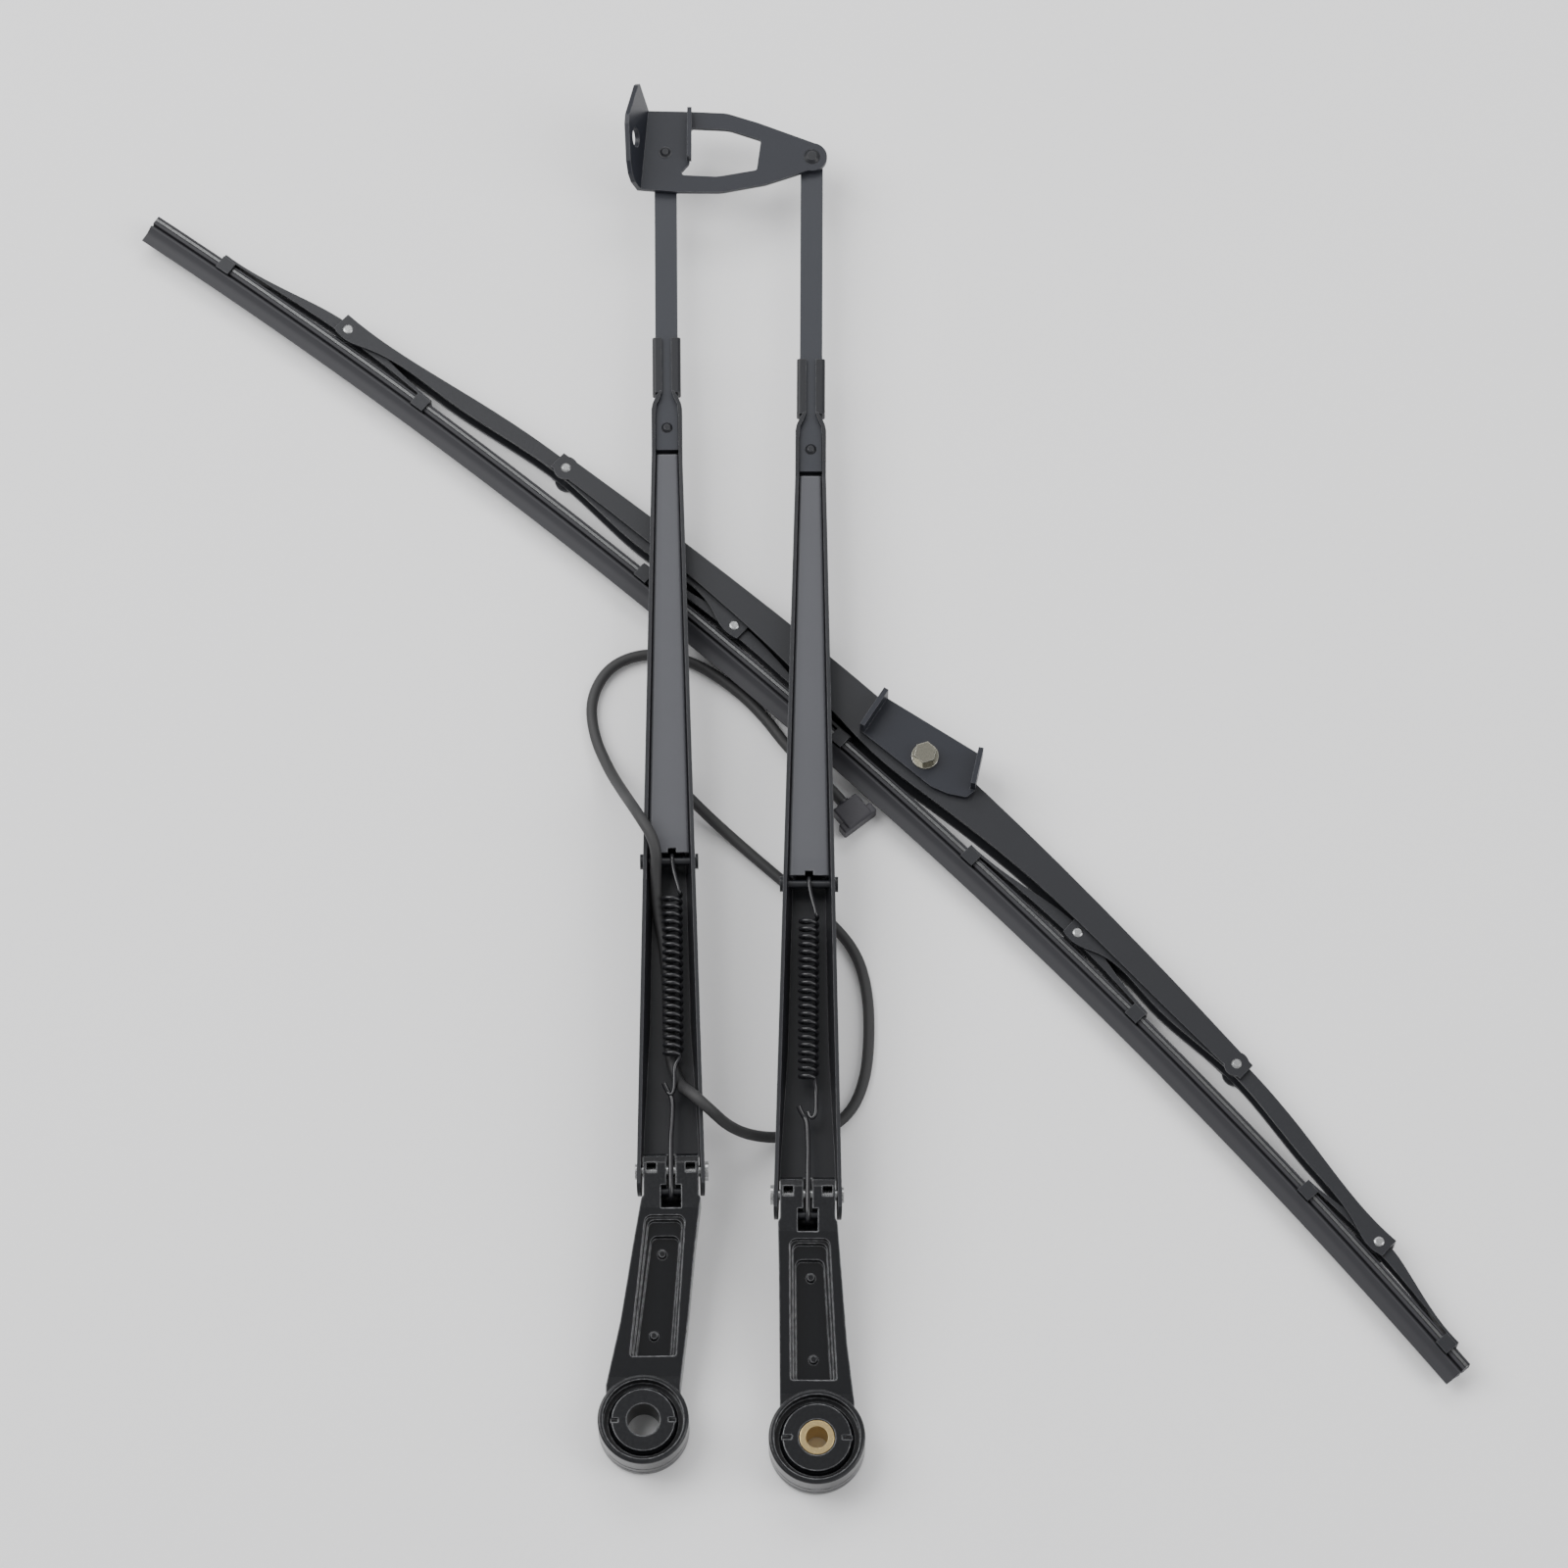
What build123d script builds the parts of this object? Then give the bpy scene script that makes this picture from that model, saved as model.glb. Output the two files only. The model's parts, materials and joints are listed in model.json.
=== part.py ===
from build123d import *
import math
import os

# Twin-arm (pantograph) windshield wiper, millimetres.
# Origin: axis of the drive spindle bore, in the plane that the assembly lies on.
# +X runs from the idler arm to the drive arm, +Y from the spindles to the link plate, +Z up.
# The arms lie glass side up over a framed blade that lies on its side.

# --- arms: a channel folded round a flat rod, hinged to a cast head -------------------
WEB_Z = 15.0             # outer face of the channel web
SHEET = 1.5              # channel sheet thickness
HINGE_Z = 22.5           # hinge pin axis
HINGE_HALF = 13.0        # half width of the channel at the hinge
TAPER = 0.0229           # half width lost per millimetre of length
NARROW_HALF = 6.15       # half width where the channel holds the rod
WALL_TOP_END = 21.5
CHANNEL_END = 319.0      # where the walls turn in towards the sleeve
CHANNEL_STATIONS = (
    # from hinge, how much narrower the web is than the wall tops each side, wall top
    (-12.0, 0.6, 29.5), (14.0, 0.7, 29.5), (60.0, 2.4, 29.5), (135.0, 2.4, 29.5),
    (299.0, 0.0, WALL_TOP_END), (CHANNEL_END, 0.0, WALL_TOP_END))
STRIP = (128.4, 299.8)   # start and end of the stiffening strip between the walls
STRIP_SHEET = 1.2
WEB_START = 7.8          # the web is cut back here to clear the head
WALL_END_RADIUS = 9.5    # rounded wall end about the hinge pin
SLEEVE = (326.5, 350.5)  # start and end of the sleeve that is crimped round the rod
SLEEVE_WIDTH = 11.4
SLEEVE_GAP = 3.8         # slot between the rolled edges
ROD_WIDTH = 9.0
ROD_THICK = 3.0
ROD_Z = 16.6             # underside of the rod
ROD_START = 302.0
ROD_RIVET_AT = 311.6
PIN_RADIUS = 2.2         # hinge pin
CROSS_PIN_AT = 125.4
CROSS_PIN_Z = 24.6
CROSS_PIN_RADIUS = 1.6
RUNNING = 0.05           # radial clearance of pins that turn

# --- tension springs ------------------------------------------------------------------
SPRING_AT = (44.5, 112.5)   # lower and upper end of the coils, from the hinge
SPRING_Z = (25.9, 25.5)     # axis height at those ends
SPRING_RADIUS = 4.2
WIRE_RADIUS = 0.8
LINK_AT = 31.5              # where the spring's lower leg meets the link
HOOK_PIN_AT = -9.0
HOOK_PIN_Z = 25.6
HOOK_PIN_RADIUS = 1.5

# --- cast heads -----------------------------------------------------------------------
BOSS_HEIGHT = 18.0
TONGUE_HALF = 10.6
HEAD_TOP = 29.0
POCKET_FLOOR_DROP = 8.6
DRIVE_BORE = 4.25        # bore of the brass insert
INSERT_RADIUS = 7.0
IDLER_BORE = 6.3

# --- link plate -----------------------------------------------------------------------
PLATE_Z = 20.6
PLATE_T = 2.0
RIVET_RADIUS = 2.5
FLANGE_HEIGHT = 18.0
FLANGE_LEAN = 18.0       # degrees outward from upright
BLADE_BOLT_HOLE = 4.1

# --- blade, in its own frame: s along the chord, h from the lip towards the bridge ----
BLADE_MID = (-15.35, 264.75)
BLADE_ANGLE = -42.99
BLADE_HALF_LENGTH = 352.0
LIP_RADIUS = 2560.0
LIP_RISE = 22.1          # height of the lip above the chord at mid length
BLADE_MID_Z = 7.0        # centre plane of the blade as it lies
PRIMARY_WIDTH = 14.0
SECONDARY_WIDTH = 10.4
YOKE_WIDTH = 7.4
LEVER_SHEET = 1.2
PIN = 1.5                # radius of the lever pins
YOKE_SHEET = 1.0
RUBBER_HEIGHT = 11.7
BOLT_S = 35.4
JOINT_S = {"J1": -261.0, "J2": -154.0, "J3": -58.7, "J4": 127.8, "J5": 209.2, "J6": 296.5}
YOKE_RISE = 16.6         # yoke pins above the lip
SECONDARY_RISE = 23.6    # secondary pins above the lip
BOLT_RISE = 25.9
BOLT_RADIUS = 2.5
ADAPTER_T = 2.0
ADAPTER_EAR = 9.5        # height of the ears above the bridge
ADAPTER_OUTLINE = [(5.8, 55.3), (52.0, 63.3), (59.4, 50.8), (58.9, 46.2), (52.4, 42.4), (45.7, 40.1),
                   (9.0, 38.4)]

# --- washer hose ----------------------------------------------------------------------
HOSE_DIAMETER = 4.4

BASE = (Align.CENTER, Align.CENTER, Align.MIN)    # solids that stand on their own base

ARMS = {
    # hinge position, lean in degrees, hinge to link pivot, boss centre, boss radius, bore
    "idler": dict(hinge=(-55.9, 103.2), lean=0.66, reach=432.1,
                  boss=(-66.0, 6.8), boss_radius=17.4, bore=IDLER_BORE, spring_x=1.1, leg_x=1.5),
    "drive": dict(hinge=(-3.4, 93.8), lean=-0.29, reach=439.6,
                  boss=(0.0, 0.0), boss_radius=18.4, bore=INSERT_RADIUS, spring_x=0.0, leg_x=3.0),
}


def save(name, *solids):
    """Writes one node, as one solid or as a group of separate solids."""
    shape = solids[0] if len(solids) == 1 else Compound(children=list(solids))
    export_step(shape, f"parts/{name}.step")


def box(x0, x1, y0, y1, z0, z1):
    return Pos((x0 + x1) / 2, (y0 + y1) / 2, (z0 + z1) / 2) * Box(x1 - x0, y1 - y0, z1 - z0)


def rod(start, end, radius):
    """A straight cylinder between two points."""
    a, b = Vector(*start), Vector(*end)
    plane = Plane(origin=a, z_dir=(b - a).normalized())
    return extrude(plane * Circle(radius), amount=(b - a).length)


def prism(points, z0, z1):
    """A closed outline in plan, raised from z0 to z1."""
    face = make_face(Polyline(*points, close=True))
    return Pos(0, 0, z0) * extrude(face, amount=z1 - z0, dir=(0, 0, 1))


def rounded_prism(points, radii, z0, z1):
    """The same with a radius at each corner."""
    face = make_face(FilletPolyline(*points, radius=radii, close=True))
    return Pos(0, 0, z0) * extrude(face, amount=z1 - z0, dir=(0, 0, 1))


def side_prism(points, half_width):
    """A closed outline in the YZ plane, given both sides of X = 0."""
    face = make_face(Polyline(*[(0, y, z) for y, z in points], close=True))
    return extrude(face, amount=half_width, dir=(1, 0, 0), both=True)


def solid(shape):
    """The single solid that a boolean leaves."""
    found = shape.solids()
    assert len(found) == 1, f"{len(found)} solids"
    return found[0]


def bent_wire(points, radius, bend):
    """A round wire along straight runs joined by tangent arcs."""
    path = FilletPolyline(*points, radius=bend)
    start = Plane(origin=path @ 0, z_dir=path % 0)
    return sweep(start * Circle(radius), path=path)


def place(arm, shape):
    """Moves a piece from an arm's own frame, hinge at the origin, to its place."""
    spec = ARMS[arm]
    return Location((*spec["hinge"], 0), (0, 0, spec["lean"])) * shape


def arm_point(arm, x, y, z=0.0):
    """A point of an arm's own frame, in the frame of the whole assembly."""
    (hx, hy), turn = ARMS[arm]["hinge"], math.radians(ARMS[arm]["lean"])
    return (hx + x * math.cos(turn) - y * math.sin(turn),
            hy + x * math.sin(turn) + y * math.cos(turn), z)


def in_arm(arm, x, y):
    """A point of the whole assembly, in an arm's own frame."""
    (hx, hy), turn = ARMS[arm]["hinge"], math.radians(ARMS[arm]["lean"])
    dx, dy = x - hx, y - hy
    return (dx * math.cos(turn) + dy * math.sin(turn), dy * math.cos(turn) - dx * math.sin(turn))


# ======================================================================================
# Arms
# ======================================================================================
def channel_half(along):
    return max(NARROW_HALF, HINGE_HALF - TAPER * along)


def channel_at(along):
    """Splay and wall top at a distance from the hinge."""
    for (a, splay_a, top_a), (b, splay_b, top_b) in zip(CHANNEL_STATIONS, CHANNEL_STATIONS[1:]):
        if along <= b:
            part = (along - a) / (b - a)
            return splay_a + part * (splay_b - splay_a), top_a + part * (top_b - top_a)


def channel_section(along):
    """The U of the channel, walls splayed outward, at a distance from the hinge."""
    top = channel_half(along)
    splay, rise = channel_at(along)
    web = top - splay
    outer = [(-top, rise), (-web, WEB_Z), (web, WEB_Z), (top, rise)]
    foot = web - SHEET + 0.1 * splay
    inner = [(top - SHEET, rise), (foot, WEB_Z + SHEET), (-foot, WEB_Z + SHEET), (SHEET - top, rise)]
    return make_face(Polyline(*[(x, along, z) for x, z in outer + inner], close=True))


def ruled(section, stations):
    """Straight-sided lofts through a row of sections."""
    body = None
    for a, b in zip(stations, stations[1:]):
        span = loft([section(a), section(b)], ruled=True)
        body = span if body is None else body + span
    return body


def channel():
    """Channel, neck and crimped sleeve in one pressing."""
    body = ruled(channel_section, [station[0] for station in CHANNEL_STATIONS])
    reach = WALL_END_RADIUS
    wall_side = (side_prism([(0, HINGE_Z - reach), (400, HINGE_Z - reach), (400, 40), (0, 40)], 20)
                 + extrude(Plane.YZ * Pos(0, HINGE_Z) * Circle(reach), amount=20, both=True))
    body = body & wall_side
    body -= box(-20, 20, -20, WEB_START, WEB_Z - 1, WEB_Z + SHEET + 0.4)
    body += neck() + sleeve()
    body -= extrude(Plane.YZ * Pos(0, HINGE_Z) * Circle(PIN_RADIUS), amount=20, both=True)
    cross = Plane.YZ * Pos(CROSS_PIN_AT, CROSS_PIN_Z) * Circle(CROSS_PIN_RADIUS)
    body -= extrude(cross, amount=20, both=True)
    body -= Pos(0, ROD_RIVET_AT, 0) * Cylinder(1.5, 60)
    return solid(body)


def strip_section(along, inset=0.0):
    """A folded strip with rounded upper corners, standing between the walls."""
    splay, rise = channel_at(along)
    part = (along - STRIP[0]) / (STRIP[1] - STRIP[0])
    top = rise - 2.4 + part * 0.9 - inset
    wall = channel_half(along) - SHEET
    slope = splay / (rise - WEB_Z)
    low = WEB_Z + SHEET + 0.1 - inset
    half_top = wall - slope * (rise - top) - 0.3 - inset
    half_low = wall - slope * (rise - low) - 0.25 - inset
    outline = [(-half_low, low), (half_low, low), (half_top + 0.15, top - 0.9), (half_top - 0.3, top - 0.25),
               (half_top - 1.0, top), (1.0 - half_top, top), (0.3 - half_top, top - 0.25),
               (-half_top - 0.15, top - 0.9)]
    return make_face(Polyline(*[(x, along, z) for x, z in outline], close=True))


def strip(x):
    """Stiffening strip between the cross pin and the rod, notched for the spring's hook at x."""
    stations = [STRIP[0], 135.0, STRIP[1]]
    body = ruled(strip_section, stations)
    body -= ruled(lambda along: strip_section(along, STRIP_SHEET), stations)
    return solid(body - box(x - 1.6, x + 1.6, STRIP[0] - 1, STRIP[0] + 1.8, 18, 40))


def neck():
    """Where the walls curl in over the rod, ahead of the sleeve."""
    outer, start, end = NARROW_HALF, 306.0, SLEEVE[0] + 0.5
    curl = [(outer, start), (outer, 319), (outer - 0.5, 321.5), (outer - 1.7, 324.4), (2.9, end)]
    inner = [(1.9, end), (outer - 3.4, 324.0), (outer - 2.0, 321),
             (outer - SHEET, 316), (outer - SHEET, start)]
    low, high = ROD_Z + ROD_THICK + 0.1, WALL_TOP_END + 0.2
    right = prism(curl + inner, low, high)
    foot = SLEEVE_WIDTH / 2 - 1.5
    web = prism([(-outer, 310), (outer, 310), (outer, 319), (foot, 322), (foot, end),
                 (-foot, end), (-foot, 322), (-outer, 319)], WEB_Z, WEB_Z + SHEET)
    return right + mirror(right, about=Plane.YZ) + web


def sleeve():
    """Sheet rolled round the rod, open along the middle of its upper side."""
    a, b = SLEEVE
    half, top = SLEEVE_WIDTH / 2, ROD_Z + ROD_THICK + SHEET
    outer = extrude(
        Plane(origin=(0, a, (WEB_Z + top) / 2), x_dir=(1, 0, 0), z_dir=(0, 1, 0))
        * RectangleRounded(2 * half, top - WEB_Z, 1.4), amount=b - a)
    hollow = box(-ROD_WIDTH / 2 - 0.05, ROD_WIDTH / 2 + 0.05, a - 1, b + 1,
                 ROD_Z - 0.1, ROD_Z + ROD_THICK + 0.05)
    return outer - hollow - box(-SLEEVE_GAP / 2, SLEEVE_GAP / 2, a - 1, b + 1, ROD_Z, top + 1)


def arm_rod(arm):
    """Flat steel rod from inside the channel to the link plate."""
    reach = ARMS[arm]["reach"]
    tip = Pos(0, reach, 0) * Cylinder(ROD_WIDTH / 2, ROD_THICK, align=BASE)
    body = Pos(0, 0, ROD_Z) * (tip + box(-ROD_WIDTH / 2, ROD_WIDTH / 2, ROD_START, reach, 0, ROD_THICK))
    body -= Pos(0, reach, ROD_Z) * Cylinder(RIVET_RADIUS + RUNNING, 20)
    body -= Pos(0, ROD_RIVET_AT, ROD_Z) * Cylinder(1.5, 20)
    return solid(body)


def rod_rivet():
    """Rivet through rod and web, with a low domed head on the glass side."""
    top = ROD_Z + ROD_THICK
    shank = rod((0, ROD_RIVET_AT, WEB_Z - 0.8), (0, ROD_RIVET_AT, top + 0.1), 1.5)
    head = Pos(0, ROD_RIVET_AT, top) * Cone(2.3, 1.2, 0.9, align=BASE)
    foot = rod((0, ROD_RIVET_AT, WEB_Z - 0.9), (0, ROD_RIVET_AT, WEB_Z), 2.6)
    return solid(shank + head + foot)


def hinge_pin(side):
    """Hinge rivet, with its round head on the side that faces the other arm."""
    half = HINGE_HALF + 0.05
    pin = rod((-half, 0, HINGE_Z), (half, 0, HINGE_Z), PIN_RADIUS)
    head = rod((side * half, 0, HINGE_Z), (side * (half + 1.3), 0, HINGE_Z), 3.8)
    tail = rod((-side * half, 0, HINGE_Z), (-side * (half + 0.8), 0, HINGE_Z), 3.0)
    return solid(pin + head + tail)


def cross_pin():
    """Spring anchor: a pin across the channel, upset to a head at each end."""
    half = channel_half(CROSS_PIN_AT) + 0.05
    pin = rod((-half, CROSS_PIN_AT, CROSS_PIN_Z), (half, CROSS_PIN_AT, CROSS_PIN_Z), CROSS_PIN_RADIUS)
    for side in (-1, 1):
        start, end = side * half, side * (half + 1.2)
        pin += rod((start, CROSS_PIN_AT, CROSS_PIN_Z), (end, CROSS_PIN_AT, CROSS_PIN_Z), 3.0)
    return solid(pin)


def tension_spring(x, leg_x):
    """Outer shape of the coils, with the hook and the leg that are bent from the same wire."""
    low = (x, SPRING_AT[0], SPRING_Z[0])
    high = (x, SPRING_AT[1], SPRING_Z[1])
    coils = rod(low, high, SPRING_RADIUS)
    top, anchor = (x + 1.0, SPRING_AT[1] - 1, SPRING_Z[1] + 1.6), (x + 1.0, CROSS_PIN_AT, CROSS_PIN_Z + 2.5)
    tail = rod(top, anchor, WIRE_RADIUS)
    leg = rod((leg_x, SPRING_AT[0] + 1, SPRING_Z[0]), (leg_x, LINK_AT, SPRING_Z[0]), WIRE_RADIUS)
    return solid(coils + tail + leg)


def spring_link(x):
    """Bent wire from the spring's lower end, over the hinge pin, to the hook pin."""
    height = HOOK_PIN_Z + HOOK_PIN_RADIUS + 1.35
    points = [(x - 2.0, LINK_AT + 1.5, SPRING_Z[0]), (x - 1.0, 22.0, SPRING_Z[0] + 0.6),
              (0.0, 12.0, height - 0.4), (0.0, HOOK_PIN_AT, height),
              (0.0, HOOK_PIN_AT - 4.6, height - 1.2)]
    return solid(bent_wire(points, 1.0, 3.0))


def hook_pin():
    return rod((-3.9, HOOK_PIN_AT, HOOK_PIN_Z), (3.9, HOOK_PIN_AT, HOOK_PIN_Z), HOOK_PIN_RADIUS)


# ======================================================================================
# Heads
# ======================================================================================
def head_outline(cx, cy):
    """Plan of a head, from its tongue between the channel walls to the boss."""
    end = 14.2
    right = [(TONGUE_HALF, 8.0), (TONGUE_HALF, -11.0), (11.4, -12.4), (cx * 0.25 + 11.9, -30.0),
             (cx * 0.6 + 12.9, -58.0), (cx + end, cy + 14.0)]
    left = [(cx - end, cy + 14.0), (cx * 0.6 - 12.9, -58.0), (cx * 0.25 - 11.9, -30.0),
            (-11.4, -12.4), (-TONGUE_HALF, -11.0), (-TONGUE_HALF, 8.0)]
    return prism(right + [(cx + end, cy), (cx - end, cy)] + left, 0, 40)


def head_side(cy):
    """Side view: rises from the boss to the hinge, round at the tongue's end."""
    top = [(cy, 15.6), (cy + 17, 15.6), (-66, 18.5), (-16, HEAD_TOP), (2.0, HEAD_TOP - 0.6),
           (4.8, 27.2), (6.4, 25.0), (6.9, HINGE_Z)]
    under = [(5.8, 18.6), (3.0, 16.3), (0.0, 15.7), (-14.0, 14.6), (-66, 5.0), (cy + 17, 2.5), (cy, 2.5)]
    return side_prism(top + under, 60)


def pocket(cx, cy):
    """Pocket in the glass side: a shallow shelf, then a deeper floor with rounded upper corners."""
    def cut(inset, y_top, y_low, drop):
        low_x, top_x = cx * 0.66, cx * 0.2
        corners = [(top_x - 7.6 + inset, y_top), (top_x + 7.6 - inset, y_top),
                   (low_x + 8.8 - inset, y_low), (low_x - 8.8 + inset, y_low)]
        face = make_face(FilletPolyline(*corners, radius=[2.6, 2.6, 1.0, 1.0], close=True))
        hollow = extrude(face, amount=60, dir=(0, 0, 1))
        slope = (HEAD_TOP - 18.5) / 50.0
        floor = [(y, HEAD_TOP - drop + slope * (y + 16)) for y in (y_top + 1, y_low - 1)]
        return hollow & side_prism([(y_top + 1, 60), floor[0], floor[1], (y_low - 1, 60)], 60)

    rim = cut(0.0, -19.0, -71.5, 2.4)
    shelf = cut(1.1, -20.2, -71.0, POCKET_FLOOR_DROP * 0.62)
    deep = cut(2.2, -25.5, -70.4, POCKET_FLOOR_DROP)
    return rim + shelf + deep


def pocket_marks(cx):
    """Two small round studs on the pocket floor."""
    marks = None
    slope = (HEAD_TOP - 18.5) / 50.0
    for y in (-31.5, -62.0):
        z = HEAD_TOP - POCKET_FLOOR_DROP + slope * (y + 16)
        stud = Pos(cx * 0.2 + cx * 0.52 * (-y - 19) / 52, y, z - 1.0) * Cone(
            2.3, 1.3, 2.0, align=BASE)
        marks = stud if marks is None else marks + stud
    return marks


def boss(radius, bore):
    """Round boss with a rim, a deep groove and a central disc with two notches."""
    body = Cylinder(radius, BOSS_HEIGHT, align=BASE)
    body = chamfer(body.edges().group_by(Axis.Z)[0], 1.2)
    body = fillet(body.edges().group_by(Axis.Z)[-1], 0.9)
    groove = Cylinder(radius - 2.0, 5.0, align=BASE)
    groove -= Cone(radius - 4.0, radius - 5.4, 3.8, align=BASE)
    body -= Pos(0, 0, BOSS_HEIGHT - 5.0) * groove
    for z in (4.4, 8.6):
        ring = Cylinder(radius + 1, 0.9) - Cylinder(radius - 0.5, 0.9)
        body -= Pos(0, 0, z) * ring
    for side in (-1, 1):
        notch = box(*sorted((side * 9.6, side * 20)), -0.8, 0.8, BOSS_HEIGHT - 2.6, BOSS_HEIGHT)
        body -= notch & Cylinder(radius - 4.0, 60)
    body -= Cylinder(bore, 60)
    return body


def head(arm):
    """Cast head: spindle boss, pocketed body and hinge tongue."""
    spec = ARMS[arm]
    cx, cy = in_arm(arm, *spec["boss"])
    blank = head_outline(cx, cy) & head_side(cy)
    blank -= pocket(cx, cy)
    blank -= Pos(cx, cy, 0) * Cylinder(spec["boss_radius"] - 0.8, 80)
    body = blank + pocket_marks(cx) + Pos(cx, cy, 0) * boss(spec["boss_radius"], spec["bore"])
    body -= box(-3.9, 3.9, -16.2, -7.0, 17.5, 40)
    body -= box(-1.8, 1.8, -8.0, 10.0, HINGE_Z, 40)
    for side in (-1, 1):
        body -= box(*sorted((side * 5.6, side * 9.4)), -2.0, 2.0, HINGE_Z - 2, 40)
    body -= extrude(Plane.YZ * Pos(0, HINGE_Z) * Circle(PIN_RADIUS + RUNNING), amount=30, both=True)
    return solid(body)


def spindle_insert():
    """Brass insert that takes the drive spindle."""
    height = BOSS_HEIGHT - 1.2
    body = Cylinder(INSERT_RADIUS, height, align=BASE)
    body = chamfer(body.edges().group_by(Axis.Z)[-1], 0.5)
    return solid(body - Cylinder(DRIVE_BORE, 60))


# ======================================================================================
# Link plate
# ======================================================================================
def link_pivot(arm):
    return arm_point(arm, 0, ARMS[arm]["reach"])


def link_plate():
    """Pressed plate with a window, two pivot holes and the bracket for the blade."""
    px, py, _ = link_pivot("drive")
    top = PLATE_Z + PLATE_T
    bend_low, bend_high = (-72.2, 519.1), (-69.4, 554.0)
    outline = [bend_high, (-51.0, 553.6), (-36.0, 552.9), (-23.0, 548.6), (px + 1.6, py + 5.9),
               (px + 5.8, py), (px - 1.0, py - 5.9), (-19.9, 521.2), (-38.1, 517.6), (-56.2, 517.7),
               bend_low]
    radii = [0.5, 6, 12, 20, 3.6, 3.6, 3.6, 12, 20, 6, 0.5]
    window = [(-50.2, 546.4), (-35.0, 545.6), (-21.9, 541.0), (-23.6, 527.4), (-39.7, 524.4),
              (-55.4, 525.2), (-51.0, 530.5)]
    openings = [1.0, 14, 1.0, 1.2, 14, 1.2, 2.0]
    plate = rounded_prism(outline, radii, PLATE_Z, top)
    plate += Pos(px, py, PLATE_Z) * Cylinder(6.2, PLATE_T, align=BASE)
    plate -= rounded_prism(window, openings, PLATE_Z - 1, top + 1)
    for arm in ARMS:
        x, y, _ = link_pivot(arm)
        plate -= Pos(x, y, PLATE_Z) * Cylinder(RIVET_RADIUS, 20)
    plate += blade_flange(bend_low, bend_high)
    plate += box(-52.0, -50.2, 531.5, 553.6, top - 0.5, top + 4.5)
    return solid(plate)


def flange_frame(bend_low, bend_high):
    """Plane of the leaning flange: x along the bend, y up the flange."""
    along = (Vector(*bend_high) - Vector(*bend_low)).normalized()
    outward = Vector(-along.Y, along.X, 0)
    lean = math.radians(FLANGE_LEAN)
    up = outward * math.sin(lean) + Vector(0, 0, math.cos(lean))
    origin = Vector(*bend_low, PLATE_Z)
    return Plane(origin=origin, x_dir=along, z_dir=along.cross(up))


def blade_flange(bend_low, bend_high):
    """Upright ear that the blade bolts to, round at its near corner."""
    length = (Vector(*bend_high) - Vector(*bend_low)).length
    plane = flange_frame(bend_low, bend_high)
    face = make_face(Polyline((0, 0), (length, 0), (length + 6.5, FLANGE_HEIGHT - 4.5),
                              (length + 5.0, FLANGE_HEIGHT - 2.8), (24.0, FLANGE_HEIGHT + 3.5),
                              (20.0, FLANGE_HEIGHT + 3.3), (6.0, FLANGE_HEIGHT - 2.5),
                              (1.8, FLANGE_HEIGHT - 6.0), (0, FLANGE_HEIGHT - 10.0), close=True))
    ear = extrude(plane * face, amount=PLATE_T, both=False)
    hole = extrude(plane * Pos(18.0, 12.0) * Circle(BLADE_BOLT_HOLE), amount=12, both=True)
    return ear - hole


def link_rivet(arm, head_radius):
    """Shouldered rivet that the arm turns on."""
    x, y, _ = link_pivot(arm)
    top = PLATE_Z + PLATE_T
    shank = rod((x, y, ROD_Z - 0.9), (x, y, top + 0.2), RIVET_RADIUS)
    foot = rod((x, y, ROD_Z - 1.4), (x, y, ROD_Z - 0.15), 4.2)
    dome = Pos(x, y, top) * Cone(head_radius, head_radius * 0.55, 1.1, align=BASE)
    return solid(shank + foot + dome)


def link_washer(arm):
    """Spacer between rod and plate."""
    x, y, _ = link_pivot(arm)
    low = ROD_Z + ROD_THICK + 0.1
    ring = Cylinder(4.4, PLATE_Z - low, align=BASE)
    return solid(Pos(x, y, low) * (ring - Cylinder(RIVET_RADIUS, 10)))


# ======================================================================================
# Blade
# ======================================================================================
def lip(s):
    """Height of the lip above the chord."""
    return LIP_RISE - LIP_RADIUS + math.sqrt(LIP_RADIUS ** 2 - s ** 2)


def blade(shape):
    """Moves a piece from the blade's own frame to its place."""
    return Location((*BLADE_MID, 0), (0, 0, BLADE_ANGLE)) * shape


def joint(name):
    """Pin position (s, h) of a lever joint."""
    s = JOINT_S[name]
    return s, lip(s) + (SECONDARY_RISE if name in ("J2", "J5") else YOKE_RISE)


def curve_side(top, low, z0, z1):
    """A lever's side view between a smooth upper and a smooth lower edge, given a width."""
    face = make_face([Spline(*top), Line(top[-1], low[-1]), Spline(*low), Line(low[0], top[0])])
    return Pos(0, 0, z0) * extrude(face, amount=z1 - z0, dir=(0, 0, 1))


def lever(top, low, width, sheet, ears, hole_radii):
    """A pressed lever: a U open towards the rubber, with rounded ears and pin holes."""
    z0, z1 = BLADE_MID_Z - width / 2, BLADE_MID_Z + width / 2
    body = curve_side(top, low, z0, z1)
    for s, h, r in ears:
        body += Pos(s, h, z0) * Cylinder(r, width, align=BASE)
    inner_top = [(s, h - sheet) for s, h in top]
    reach = [(top[0][0] - 12, top[0][1] - sheet)] + inner_top + [(top[-1][0] + 12, top[-1][1] - sheet)]
    below = [(s, h - 40) for s, h in reach]
    face = make_face([Polyline(reach[0], reach[1]), Spline(*inner_top), Polyline(reach[-2], reach[-1]),
                      Line(reach[-1], below[-1]), Line(below[-1], below[0]), Line(below[0], reach[0])])
    body -= Pos(0, 0, z0 + sheet) * extrude(face, amount=width - 2 * sheet, dir=(0, 0, 1))
    for (s, h, _), r in zip(ears, hole_radii):
        body -= Pos(s, h, BLADE_MID_Z) * Cylinder(r, width + 4)
    return solid(body)



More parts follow.
